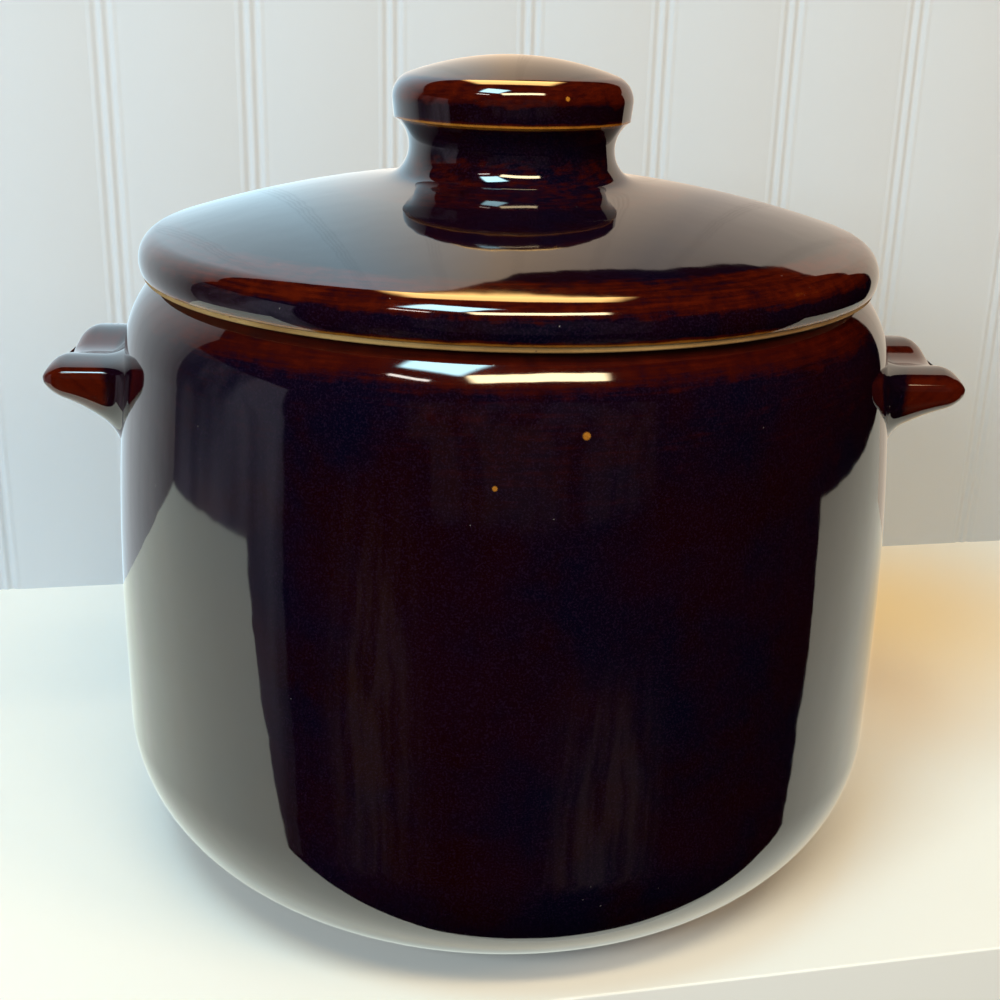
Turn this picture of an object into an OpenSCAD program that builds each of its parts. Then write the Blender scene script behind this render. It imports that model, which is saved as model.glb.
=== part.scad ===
// Stoneware bean pot: a barrel-sided crock with two thumb lugs and a loose domed lid.
// Millimetres, +Z up. The origin is the centre of the circle that the pot stands on,
// and the two lugs lie along X.

/* [Crock] */
// Outside diameter at the widest part of the belly
belly_d = 184; // [160:1:215]
// Height of the rim, which the lid sits on, above the table
rim_h = 140.6; // [118:0.2:180]
// Radius of the round heel between the belly and the foot
heel_r = 35; // [26:1:42]
// Height of the upright band between the heel and the leaning side
belly_band = 22; // [14:1:34]
// How far the side leans in between the belly and the shoulder
side_lean = 4.2; // [2:0.1:8]
// Radius of the shoulder that turns the side in to the rim
shoulder_r = 22.5; // [21:0.5:28]
// Depth below the rim at which the shoulder begins
shoulder_drop = 14.8; // [8:0.1:16]
// Thickness of the wall
wall = 7; // [5:0.5:9]
// Thickness of the floor above the foot ring
floor_t = 8; // [6:0.5:11]

/* [Foot] */
// How far the edge of the standing ring lies outside the heel's lowest circle
foot_out = 8; // [4:0.5:14]
// Width of the standing ring
foot_w = 9; // [6:0.5:14]
// Height that the standing ring adds below the heel
foot_h = 0.8; // [0.5:0.1:2]
// Depth of the recess inside the standing ring
foot_recess = 1.8; // [1:0.2:3]

/* [Mouth] */
// Width of the flat rim, from where the shoulder rounds off in to the mouth
rim_w = 6.5; // [5:0.5:12]
// Thickness of the clay lip at the mouth
lip_t = 5.5; // [4:0.5:8]
// Radius of the rounded edges of the rim
rim_round = 1.8; // [1:0.2:2.4]

/* [Lugs] */
// Length of a lug along the wall
lug_len = 46.5; // [36:0.5:58]
// How far a lug stands out from the belly
lug_reach = 12.4; // [10:0.1:20]
// Height of the lug's outer edge, at mid thickness, below the rim
lug_drop = 22.5; // [19:0.1:27]
// Radius of the rounded outer edge
lug_edge_r = 4.3; // [3:0.1:6]
// Radius of the lug's two corners, seen from above
lug_corner_r = 4; // [2:0.2:8]
// How much the lug thickens upwards at its root
lug_rise = 0; // [0:0.2:3]
// How much the lug thickens downwards at its root, as a bracket
lug_sweep = 8.6; // [4:0.1:12]
// How much thicker the left lug's bracket is, as the lugs are pressed on by hand
left_sweep = 2.8; // [0:0.1:3]
// How much lower the left lug sits
left_drop = 0.4; // [0:0.1:1.5]
// Radius of the fillet that blends the lug into the wall
lug_fillet = 4.4; // [2:0.2:5]
// Depth of the thumb hollow in the lug's top
thumb_depth = 2.8; // [0.5:0.1:3]
// Length of the thumb hollow along the lug
thumb_len = 32; // [18:1:34]

/* [Lid] */
// How far the lid stands out beyond the flat of the rim
lid_overhang = 4.9; // [1.6:0.1:6]
// Radius of the dome
dome_r = 260; // [200:5:400]
// Radius of the rounded edge of the lid
lid_edge_r = 6.2; // [4:0.2:7]
// Height from the lid's seat to the top of its rounded edge
lid_edge_h = 9.7; // [8.5:0.1:13]
// Height of the bare clay band round the bottom of the edge
band_h = 1.2; // [0.8:0.1:3]
// Inset of the bare clay band from the glazed edge
band_inset = 0.8; // [0.6:0.1:2]
// Thickness of the domed plate
lid_t = 7; // [5.5:0.5:8.5]
// Depth of the locating flange below the lid's seat
flange_h = 9; // [6:0.5:14]
// Thickness of the locating flange
flange_t = 6; // [4.5:0.5:9]
// How much the flange narrows from its root to its lower edge
flange_taper = 0.8; // [0:0.1:2]

/* [Knob] */
// Largest diameter of the knob
knob_d = 54.2; // [46:0.1:64]
// Diameter of the waist under the knob's cap
waist_d = 46.8; // [38:0.1:52]
// Radius of the hollow throat round the waist
throat_r = 7.5; // [6:0.5:9.5]
// Height of the side of the cap, from its lower edge to where it rounds over
cap_side_h = 4.2; // [3:0.1:7]
// Radius that rounds the cap's side over to its top
cap_edge_r = 5.6; // [4:0.2:8]
// Radius of the low dome on top of the cap
cap_dome_r = 68; // [50:1:120]
// How much the cap's side draws in at its lower edge
cap_draw = 0.4; // [0.2:0.05:1.5]
// Diameter of the hollow inside the knob, open under the lid
knob_bore_d = 20; // [14:1:22]
// Height of the clay left above the hollow
knob_roof = 8; // [6:0.5:12]

/* [Fits] */
// Gap between the lid's seat and the rim
seat_gap = 0.2; // [0.1:0.05:0.5]
// Gap all round between the flange and the mouth
mouth_gap = 1.4; // [0.8:0.1:3]

/* [Hidden] */

$fn = 180;
chord = 4.5;      // longest step along a curved outline
soft_r = 0.8;     // rounding of small clay edges
band_soft_r = 0.4; // rounding of the clay band's lower edge
lip_slope = 2;    // fall of the lip's underside towards the wall
lug_sides = 44;   // points round each section of a lug
lug_square = 3.6; // how square a lug's section is: 2 is an ellipse
lug_top_flare = 0.3; // share of the fillet that the flat top keeps
lug_sweep_bend = 1.4; // how late the bracket under a lug turns down: 1 is a straight slope
lug_bite = 0.8;   // depth in the wall at which a lug's shape begins
lug_root = 7;     // depth to which a lug's blank runs on into the wall before it is cut

glaze = [0.20, 0.10, 0.09];
rust_glaze = [0.30, 0.13, 0.08];

// Crock: the side is one long arc, and the shoulder arc is tangent to it.
belly_r = belly_d / 2;
heel_c = [belly_r - heel_r, foot_h + heel_r];
belly_top = heel_c[1] + belly_band;
shoulder_h = rim_h - shoulder_drop;
side_rise = shoulder_h - belly_top;
side_r = (side_rise * side_rise + side_lean * side_lean) / (2 * side_lean);
side_c = [belly_r - side_r, belly_top];
side_angle = asin(side_rise / side_r);
shoulder_c = side_c + (side_r - shoulder_r) * [cos(side_angle), sin(side_angle)];
foot_r = heel_c[0] + foot_out;
heel_angle = acos(foot_out / heel_r);
floor_z = foot_h + floor_t;

// Rim: its outer edge is tangent to the shoulder and to the flat seat.
rim_edge_z = rim_h - rim_round;
rim_edge_x = shoulder_c[0] + sqrt(pow(shoulder_r - rim_round, 2) - pow(rim_edge_z - shoulder_c[1], 2));
rim_angle = atan2(rim_edge_z - shoulder_c[1], rim_edge_x - shoulder_c[0]);
mouth_r = rim_edge_x - rim_w;
lip_z = rim_h - lip_t;
inner_shoulder_r = shoulder_r - wall;
inner_shoulder_angle = asin(min(0.8, (lip_z - lip_slope - shoulder_c[1]) / inner_shoulder_r));
inner_heel_r = heel_r - wall;

// Lid: the dome and the rounded edge are tangent arcs.
seat_z = rim_h + seat_gap;
lid_r = rim_edge_x + lid_overhang;
lid_edge_c = [lid_r - lid_edge_r, seat_z + lid_edge_h - lid_edge_r];
dome_c = [0, lid_edge_c[1] - sqrt(pow(dome_r - lid_edge_r, 2) - pow(lid_edge_c[0], 2))];
dome_edge_angle = atan2(lid_edge_c[1] - dome_c[1], lid_edge_c[0]);
band_r = lid_r - band_inset;
band_angle = asin((lid_edge_c[1] - seat_z - band_h) / lid_edge_r);
flange_r = mouth_r - mouth_gap;
flange_inner_r = flange_r - flange_t;
flange_z = seat_z - flange_h;
under_dome_r = dome_r - lid_t;
under_fillet = lid_t;

// Knob: the throat is tangent to the waist and to the dome. The knob's flat foot lies on a
// pad inside the circle where the throat meets the dome.
waist_r = waist_d / 2;
knob_r = knob_d / 2;
throat_x = waist_r + throat_r;
throat_c = [throat_x, dome_c[1] + sqrt(pow(dome_r + throat_r, 2) - throat_x * throat_x)];
throat_foot_angle = 180 + atan2(throat_c[1] - dome_c[1], throat_x);
pad_r = throat_x * dome_r / (dome_r + throat_r);
pad_z = dome_c[1] + sqrt(dome_r * dome_r - pad_r * pad_r);
cap_lip_r = knob_r - cap_draw;
cap_lip_angle = acos((throat_x - cap_lip_r) / throat_r);
cap_lip_z = throat_c[1] + throat_r * sin(cap_lip_angle);
cap_edge_c = [knob_r - cap_edge_r, cap_lip_z + cap_side_h];
cap_dome_c = [0, cap_edge_c[1] - sqrt(pow(cap_dome_r - cap_edge_r, 2) - pow(cap_edge_c[0], 2))];
cap_edge_angle = atan2(cap_edge_c[1] - cap_dome_c[1], cap_edge_c[0]);
knob_top = cap_dome_c[1] + cap_dome_r;
knob_bore_r = knob_bore_d / 2;
knob_bore_top = knob_top - knob_roof;

// Lug: its outer edge is a half round at a height z, and its root lies just inside the wall there.
lug_half = lug_len / 2;
function lug_root_r(z) = side_c[0] + sqrt(side_r * side_r - pow(z - side_c[1], 2)) - lug_bite;

// Points of an arc about c, from angle a0 to angle a1, both ends included.
function arc(c, r, a0, a1) =
    let (n = max(5, ceil(r * abs(a1 - a0) * PI / 180 / chord)))
    [for (i = [0:n]) let (a = a0 + (a1 - a0) * i / n) c + r * [cos(a), sin(a)]];

// Outside of the crock, from the foot up to the middle of the rim.
function crock_outside() = concat(
    [[foot_r - soft_r, 0], [foot_r, soft_r]],
    arc(heel_c, heel_r, -heel_angle, 0),
    arc(side_c, side_r, 0, side_angle),
    arc(shoulder_c, shoulder_r, side_angle, rim_angle),
    arc([rim_edge_x, rim_edge_z], rim_round, rim_angle, 90));

// Inside of the crock, from the rim down to the middle of the floor.
function crock_inside() = concat(
    arc([mouth_r + rim_round, rim_edge_z], rim_round, 90, 180),
    [[mouth_r, lip_z + soft_r], [mouth_r + soft_r, lip_z]],
    arc(shoulder_c, inner_shoulder_r, inner_shoulder_angle, side_angle),
    arc(side_c, side_r - wall, side_angle, 0),
    arc([heel_c[0], floor_z + inner_heel_r], inner_heel_r, 0, -90),
    [[0, floor_z]]);

// Underside of the crock: the recess inside the standing ring.
function crock_underside() = [
    [0, foot_recess],
    [foot_r - foot_w - foot_recess, foot_recess],
    [foot_r - foot_w, 0]];

module crock() {
    color(glaze)
        rotate_extrude()
            polygon(concat(crock_outside(), crock_inside(), crock_underside()));
}

// The crock without its hollow, used to fit the lugs to the wall.
module crock_mass() {
    rotate_extrude()
        polygon(concat([[0, 0]], crock_outside(), [[0, rim_h]]));
}

// A lug is lofted outwards from the wall. These give its section at distance u.
// v is the distance as a share of the whole way out.
function lug_nose(u, out) =
    let (w = max(0, (u - out + lug_edge_r) / lug_edge_r)) sqrt(max(0, 1 - w * w));
function lug_root_flare(u) =
    let (w = max(0, lug_fillet - max(0, u))) lug_fillet - sqrt(lug_fillet * lug_fillet - w * w);
function thumb_hollow(u, t) =
    abs(t) < thumb_len / 2 ? thumb_depth * pow(cos(180 * t / thumb_len), 2) * min(1, u / lug_fillet) : 0;
function squared(x) = sign(x) * pow(abs(x), 2 / lug_square);

// The loft follows the round wall at its root and runs straight along its edge.
function lug_point(u, a, z, sweep) =
    let (
        root_r = lug_root_r(z),
        out = belly_r + lug_reach - root_r,
        v = u / out,
        nose = lug_nose(u, out),
        flare = lug_root_flare(u),
        t = (lug_half - lug_corner_r * (1 - nose) + flare) * squared(cos(a)),
        s = squared(sin(a)),
        above = lug_edge_r * nose + lug_rise * (1 - v) + lug_top_flare * flare - thumb_hollow(u, t),
        below = lug_edge_r * nose + sweep * pow(max(0, 1 - v), lug_sweep_bend) + flare,
        wall_x = sqrt(root_r * root_r - t * t)
    )
    [wall_x + u + (root_r - wall_x) * v, t, z + s * (s > 0 ? above : below)];

function lug_stations(out) = concat(
    [for (k = [0:3]) lug_fillet * k * k / 9],
    [for (k = [1:3]) lug_fillet + (out - lug_edge_r - lug_fillet) * k / 3],
    [for (a = [18, 36, 52, 66, 78, 86]) out - lug_edge_r + lug_edge_r * sin(a)]);
lug_angles = [for (j = [0:lug_sides - 1]) 360 * j / lug_sides];

module lug(z, sweep) {
    root_r = lug_root_r(z);
    root = [for (a = lug_angles) let (p = lug_point(0, a, z, sweep)) [root_r - lug_root, p[1], p[2]]];
    stations = lug_stations(belly_r + lug_reach - root_r);
    rings = concat([root], [for (u = stations) [for (a = lug_angles) lug_point(u, a, z, sweep)]]);
    last = len(rings) - 1;
    difference() {
        polyhedron(
            points = [for (ring = rings) each ring],
            faces = concat(
                [[for (j = [0:lug_sides - 1]) j]],
                [for (i = [0:last - 1], j = [0:lug_sides - 1])
                    let (k = (j + 1) % lug_sides, p = i * lug_sides, q = p + lug_sides)
                    each [[p + j, q + k, p + k], [p + j, q + j, q + k]]],
                [[for (j = [lug_sides - 1:-1:0]) last * lug_sides + j]]));
        crock_mass();
    }
}

module handle_right() {
    color(rust_glaze) lug(rim_h - lug_drop, lug_sweep);
}

module handle_left() {
    color(rust_glaze) mirror([1, 0, 0]) lug(rim_h - lug_drop - left_drop, lug_sweep + left_sweep);
}

// Top of the lid: bare band, rounded edge, dome and the flat pad under the knob.
function lid_top() = concat(
    [[band_r - band_soft_r, seat_z], [band_r, seat_z + band_soft_r], [band_r, seat_z + band_h]],
    arc(lid_edge_c, lid_edge_r, -band_angle, dome_edge_angle),
    arc(dome_c, dome_r, dome_edge_angle, acos(pad_r / dome_r)),
    [[knob_bore_r, pad_z]]);

// Underside of the lid: inner dome, locating flange and the flat seat.
function lid_under() =
    let (
        fillet_x = flange_inner_r - under_fillet,
        fillet_z = dome_c[1] + sqrt(pow(under_dome_r - under_fillet, 2) - fillet_x * fillet_x),
        fillet_angle = atan2(fillet_z - dome_c[1], fillet_x)
    )
    concat(
        arc(dome_c, under_dome_r, acos(knob_bore_r / under_dome_r), fillet_angle),
        arc([fillet_x, fillet_z], under_fillet, fillet_angle, 0),
        [[flange_inner_r, flange_z + soft_r], [flange_inner_r + soft_r, flange_z]],
        [[flange_r - flange_taper - soft_r, flange_z], [flange_r - flange_taper, flange_z + soft_r]],
        [[flange_r, seat_z]]);

module lid() {
    color(glaze)
        rotate_extrude()
            polygon(concat(lid_top(), lid_under()));
}

// The knob stands on the pad. Its throat runs up to a crisp lip under the cap.
module lid_knob() {
    color(rust_glaze)
        rotate_extrude()
            polygon(concat(
                [[knob_bore_r, pad_z]],
                arc(throat_c, throat_r, throat_foot_angle, 180 - cap_lip_angle),
                arc(cap_edge_c, cap_edge_r, 0, cap_edge_angle),
                arc(cap_dome_c, cap_dome_r, cap_edge_angle, 90),
                arc([0, knob_bore_top - knob_bore_r], knob_bore_r, 90, 0)));
}

crock();
handle_left();
handle_right();
lid();
lid_knob();
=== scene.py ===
"""Stoneware bean pot: a glazed crock with two thumb lugs and a loose domed lid.

Sizes are in millimetres and meshes in metres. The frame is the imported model's: +Z up, X through
the two lugs, and the pot standing on z = 0.
"""

import logging
import math
from dataclasses import dataclass
from enum import Enum
from typing import Callable, Union

import bmesh
import bpy
from mathutils import Matrix, Vector

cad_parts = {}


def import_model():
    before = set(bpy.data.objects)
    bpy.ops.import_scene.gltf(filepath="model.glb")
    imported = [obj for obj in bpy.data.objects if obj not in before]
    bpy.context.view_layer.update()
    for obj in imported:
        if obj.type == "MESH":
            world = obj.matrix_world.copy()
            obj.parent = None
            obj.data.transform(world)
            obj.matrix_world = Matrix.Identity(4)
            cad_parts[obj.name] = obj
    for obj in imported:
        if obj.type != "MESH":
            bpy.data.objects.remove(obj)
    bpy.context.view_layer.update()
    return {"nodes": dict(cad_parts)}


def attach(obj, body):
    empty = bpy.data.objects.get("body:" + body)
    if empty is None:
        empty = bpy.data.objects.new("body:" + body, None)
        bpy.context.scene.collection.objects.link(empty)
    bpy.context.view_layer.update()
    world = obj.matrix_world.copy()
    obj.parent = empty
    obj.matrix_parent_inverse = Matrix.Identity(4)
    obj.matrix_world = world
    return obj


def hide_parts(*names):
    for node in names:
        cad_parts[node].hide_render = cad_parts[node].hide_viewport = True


frame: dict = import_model()

Point = tuple[float, float]
Place = tuple[float, float, float]
Colour = tuple[float, float, float]
Range = tuple[float, float]
Socket = bpy.types.NodeSocket
Value = Union[float, Socket]

MM = 0.001
TURN_STEPS = 240
SHARP_EDGE = math.radians(38)
SEAM_GAP = 0.002
ON_AXIS = 1e-6

log = logging.getLogger("bean_pot")


class Body(Enum):
    """The two bodies that the pieces ride on."""

    POT = "pot"
    LID = "lid"


class Slot(Enum):
    """The record's material slots."""

    DARK = "dark_glaze"
    RUST = "rust_glaze"


# ---------------------------------------------------------------- outlines and meshes


def polar(centre: Point, radius: float, angle: float) -> Point:
    """The point at a radius and an angle, in radians, from a centre."""
    return centre[0] + radius * math.cos(angle), centre[1] + radius * math.sin(angle)


def arc(centre: Point, radius: float, start: float, end: float, step: float = 0.8) -> list[Point]:
    """Points along an arc, both ends included.

    Args:
        centre: Centre as (distance from the axis, height).
        radius: Radius.
        start: First angle in degrees, from the outward direction.
        end: Last angle in degrees.
        step: Longest step along the arc.

    Returns:
        The points, in order from start to end.
    """
    count = max(8, math.ceil(radius * math.radians(abs(end - start)) / step))
    turns = [start + (end - start) * i / count for i in range(count + 1)]
    return [polar(centre, radius, math.radians(turn)) for turn in turns]


def run(start: Point, end: Point, step: float = 4.0) -> list[Point]:
    """Points along a straight line, both ends included.

    Args:
        start: First point.
        end: Last point.
        step: Longest step along the line.

    Returns:
        The points, in order from start to end.
    """
    count = max(1, math.ceil(math.dist(start, end) / step))
    return [
        (start[0] + (end[0] - start[0]) * i / count, start[1] + (end[1] - start[1]) * i / count)
        for i in range(count + 1)
    ]


def add_object(name: str, data: bpy.types.ID) -> bpy.types.Object:
    """Puts a mesh, a light or a camera into the scene as an object of the same name."""
    thing = bpy.data.objects.new(name, data)
    bpy.context.scene.collection.objects.link(thing)
    return thing


def add_form(name: str, form: bmesh.types.BMesh) -> bpy.types.Object:
    """Puts a form in metres into the scene as a mesh object, and frees the form."""
    mesh = bpy.data.meshes.new(name)
    form.to_mesh(mesh)
    form.free()
    return add_object(name, mesh)


def face_towards(thing: bpy.types.Object, centre: Place, aim: Place, front: str) -> None:
    """Puts an object at a centre and turns its front towards an aim, both in millimetres."""
    thing.location = Vector(centre) * MM
    thing.rotation_mode = "QUATERNION"
    thing.rotation_quaternion = (Vector(aim) - Vector(centre)).to_track_quat(front, "Y")


def finish_mesh(name: str, form: bmesh.types.BMesh) -> bpy.types.Object:
    """Closes a form's seams, turns its faces outwards, smooths its shading and adds it.

    Args:
        name: Name of the new object.
        form: The form in millimetres. It is freed.

    Returns:
        The object, in metres.
    """
    bmesh.ops.remove_doubles(form, verts=form.verts, dist=SEAM_GAP)
    bmesh.ops.recalc_face_normals(form, faces=form.faces)
    for face in form.faces:
        face.smooth = True
    for edge in form.edges:
        if len(edge.link_faces) == 2 and edge.calc_face_angle() > SHARP_EDGE:
            edge.smooth = False
    form.transform(Matrix.Scale(MM, 4))
    return add_form(name, form)


def revolve(name: str, outline: list[Point]) -> bpy.types.Object:
    """Spins a closed outline round the Z axis.

    Args:
        name: Name of the new object.
        outline: Points as (distance from the axis, height), in order round the section.

    Returns:
        The object.
    """
    form = bmesh.new()
    turn = [2 * math.pi * k / TURN_STEPS for k in range(TURN_STEPS)]
    rings = []
    for radius, height in outline:
        if radius < ON_AXIS:
            rings.append([form.verts.new((0, 0, height))] * TURN_STEPS)
            continue
        rings.append([form.verts.new((*polar((0, 0), radius, a), height)) for a in turn])
    for lower, upper in zip(rings, rings[1:] + rings[:1]):
        for k in range(TURN_STEPS):
            n = (k + 1) % TURN_STEPS
            corners = list(dict.fromkeys((lower[k], lower[n], upper[n], upper[k])))
            if len(corners) > 2:
                form.faces.new(corners)
    return finish_mesh(name, form)


# ---------------------------------------------------------------- node building

PAINT_ROUGHNESS = 0.6
PAINT_GLOSS = 0.3


class Graph:
    """Adds nodes to one node tree and joins them."""

    def __init__(self, tree: bpy.types.NodeTree) -> None:
        """Takes the tree and empties it."""
        self.tree = tree
        tree.nodes.clear()

    def add(self, kind: str, **settings: object) -> bpy.types.Node:
        """Adds a node.

        Args:
            kind: Node type without the "ShaderNode" in front, or a full type name.
            settings: Properties of the node.

        Returns:
            The node.
        """
        node = self.tree.nodes.new(kind if kind.startswith("Node") else "ShaderNode" + kind)
        for key, value in settings.items():
            setattr(node, key, value)
        return node

    def put(self, socket: Socket, value: object) -> None:
        """Links a socket to another one, or sets its value."""
        if isinstance(value, bpy.types.NodeSocket):
            self.tree.links.new(value, socket)
        elif isinstance(value, tuple) and socket.type == "RGBA" and len(value) == 3:
            socket.default_value = (*value, 1.0)
        else:
            socket.default_value = value

    def maths(self, operation: str, *values: Value, clamp: bool = False) -> Socket:
        """A Math node's result for one to three values."""
        node = self.add("Math", operation=operation, use_clamp=clamp)
        for socket, value in zip(node.inputs, values):
            self.put(socket, value)
        return node.outputs[0]

    def vector(self, operation: str, *values: object) -> Socket:
        """A Vector Math node's vector result."""
        node = self.add("VectorMath", operation=operation)
        for socket, value in zip(node.inputs, values):
            self.put(socket, value)
        return node.outputs["Vector"]

    def remap(
        self, value: Value, low: Value, high: Value, to_low: Value = 0.0, to_high: Value = 1.0
    ) -> Socket:
        """Maps low..high to to_low..to_high with soft ends."""
        node = self.add("MapRange", interpolation_type="SMOOTHSTEP")
        keys = ("Value", "From Min", "From Max", "To Min", "To Max")
        for key, item in zip(keys, (value, low, high, to_low, to_high)):
            self.put(node.inputs[key], item)
        return node.outputs["Result"]

    def mix(self, share: Value, first: object, second: object) -> Socket:
        """A colour mix of first and second."""
        node = self.add("Mix", data_type="RGBA")
        self.put(node.inputs["Factor"], share)
        colours = [socket for socket in node.inputs if socket.type == "RGBA"]
        self.put(colours[0], first)
        self.put(colours[1], second)
        return next(socket for socket in node.outputs if socket.type == "RGBA")

    def noise(self, place: Socket, scale: float, detail: float = 2.0, rough: float = 0.5) -> Socket:
        """A noise texture's value, with its middle at a half."""
        node = self.add("TexNoise", noise_dimensions="3D")
        self.put(node.inputs["Vector"], place)
        self.put(node.inputs["Scale"], scale)
        self.put(node.inputs["Detail"], detail)
        self.put(node.inputs["Roughness"], rough)
        return node.outputs[0]

    def cells(self, place: Socket, scale: float) -> Socket:
        """Distance to the nearest of a cloud of scattered points."""
        node = self.add("TexVoronoi", feature="F1", voronoi_dimensions="3D")
        self.put(node.inputs["Vector"], place)
        self.put(node.inputs["Scale"], scale)
        return node.outputs["Distance"]

    def axes(self, place: Socket) -> tuple[Socket, ...]:
        """The x, y and z of a place."""
        node = self.add("SeparateXYZ")
        self.put(node.inputs[0], place)
        return tuple(node.outputs)

    def compare(self, operation: str, first: Socket, second: object) -> Socket:
        """A Vector Math node's number for two vectors, such as their distance."""
        node = self.add("VectorMath", operation=operation)
        self.put(node.inputs[0], first)
        self.put(node.inputs[1], second)
        return node.outputs["Value"]

    def glow(self, colour: object, strength: float = 1.0) -> Socket:
        """A shader that gives out light."""
        node = self.add("Emission")
        self.put(node.inputs["Color"], colour)
        self.put(node.inputs["Strength"], strength)
        return node.outputs[0]

    def matt(self, colour: Socket) -> Socket:
        """The shader of plain matt paint."""
        node = self.add("BsdfPrincipled")
        self.put(node.inputs["Base Color"], colour)
        self.put(node.inputs["Roughness"], PAINT_ROUGHNESS)
        self.put(node.inputs["Specular IOR Level"], PAINT_GLOSS)
        return node.outputs[0]

    def blend(self, share: Socket, first: Socket, second: Socket) -> Socket:
        """A mix of two shaders."""
        node = self.add("MixShader")
        for socket, value in zip(node.inputs, (share, first, second)):
            self.put(socket, value)
        return node.outputs[0]

    def surface(self, shader: Socket, output: str = "OutputMaterial") -> None:
        """Makes a shader the tree's result."""
        self.put(self.add(output).inputs["Surface"], shader)

    def group(self, tree: bpy.types.NodeTree, **values: object) -> bpy.types.Node:
        """Places a node group with values for its inputs."""
        node = self.add("Group", node_tree=tree)
        for key, value in values.items():
            self.put(node.inputs[key], value)
        return node


def new_material(name: str) -> tuple[bpy.types.Material, Graph]:
    """Makes a material, and a graph for its empty node tree."""
    material = bpy.data.materials.new(name)
    material.use_nodes = True
    return material, Graph(material.node_tree)


def new_group(
    name: str,
    inputs: list[tuple[str, str, object]],
    outputs: list[tuple[str, str]],
    fill: Callable[[Graph, bpy.types.Node], dict[str, Socket]],
) -> bpy.types.NodeTree:
    """Makes a shader node group.

    Args:
        name: Name of the group.
        inputs: Each input's name, socket type and first value.
        outputs: Each output's name and socket type.
        fill: Builds the inside from the graph and the input node, and returns the outputs by name.

    Returns:
        The group's tree.
    """
    tree = bpy.data.node_groups.new(name, "ShaderNodeTree")
    for label, kind, value in inputs:
        socket = tree.interface.new_socket(label, in_out="INPUT", socket_type=kind)
        if value is not None:
            socket.default_value = value
    for label, kind in outputs:
        tree.interface.new_socket(label, in_out="OUTPUT", socket_type=kind)
    graph = Graph(tree)
    entry = graph.add("NodeGroupInput")
    leave = graph.add("NodeGroupOutput")
    for label, socket in fill(graph, entry).items():
        graph.put(leave.inputs[label], socket)
    return tree


# ---------------------------------------------------------------- effects that the finishes share

FLOAT, VECTOR, COLOR = "NodeSocketFloat", "NodeSocketVector", "NodeSocketColor"


class GlazeTones(Enum):
    """Colours of the glaze, from thick and dark to thin."""

    AUBERGINE = (0.0060, 0.0006, 0.0024)
    NAVY = (0.0013, 0.0010, 0.0056)
    MAROON = (0.0060, 0.0004, 0.0008)
    PLUM = (0.0150, 0.0066, 0.0190)
    OXBLOOD = (0.0240, 0.0020, 0.0014)
    RUST = (0.0520, 0.0044, 0.0011)
    ORANGE = (0.1250, 0.0220, 0.0025)
    AMBER = (0.3400, 0.1300, 0.0150)
    FLECK = (0.2200, 0.2000, 0.1900)


class ClayTones(Enum):
    """Colours of the bare clay."""

    PALE = (0.3600, 0.2200, 0.0800)
    TOASTED = (0.2500, 0.1350, 0.0400)
    SHADE = (0.1600, 0.0950, 0.0400)
    IRON = (0.0500, 0.0280, 0.0150)


class Grain(Enum):
    """The finishes' noises: scale per metre, detail and roughness."""

    CLOUD = (30.0, 5.0, 0.6)
    DRIFT = (44.0, 4.0, 0.6)
    SPECKLE = (2600.0, 1.0, 0.5)
    BLOTCH = (330.0, 3.0, 0.6)
    STROKE = (6.0, 3.0, 0.6)
    PATCH = (16.0, 1.0, 0.5)
    RARE = (60.0, 1.0, 0.5)
    PEEL = (62.0, 2.0, 0.5)
    DIMPLE = (240.0, 2.0, 0.5)
    TOAST = (60.0, 3.0, 0.5)
    SAND = (1400.0, 4.0, 0.7)


@dataclass(frozen=True)
class GlazeRecipe:
    """How the glaze clouds, breaks and dimples. A range is where one colour or level gives way."""

    drift_shift: Place = (0.31, 0.17, 0.08)
    patch_shift: Place = (0.05, 0.62, 0.0)
    navy: Range = (0.34, 0.66)
    maroon: Range = (0.42, 0.72)
    plum: Range = (0.45, 0.75)
    plum_share: float = 0.40
    stroke_share: float = 1.3
    patch_share: float = 1.0
    thin_start: float = 0.2
    oxblood: Range = (0.05, 0.50)
    rust: Range = (0.40, 0.85)
    orange: Range = (0.85, 1.30)
    orange_share: float = 0.6
    amber_break: Range = (0.30, 0.60)
    amber_least: float = 0.65
    fleck_scale: float = 300.0
    fleck_edge: Range = (0.03, 0.06)
    fleck_rare: Range = (0.60, 0.66)
    fleck_share: float = 0.5
    fleck_rise: float = 0.02
    fleck_rough: float = 0.2
    dimple_share: float = 0.06
    cloud: Range = (0.30, 0.70)
    gloss: Range = (0.03, 0.06)


@dataclass(frozen=True)
class ClayRecipe:
    """How the bare clay is toasted, sandy and specked."""

    toasted: Range = (0.35, 0.68)
    shade: Range = (0.52, 0.75)
    shade_share: float = 0.5
    speck_scale: float = 420.0
    speck_edge: Range = (0.07, 0.12)
    speck_share: float = 0.7
    speck_dip: float = -0.3


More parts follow.
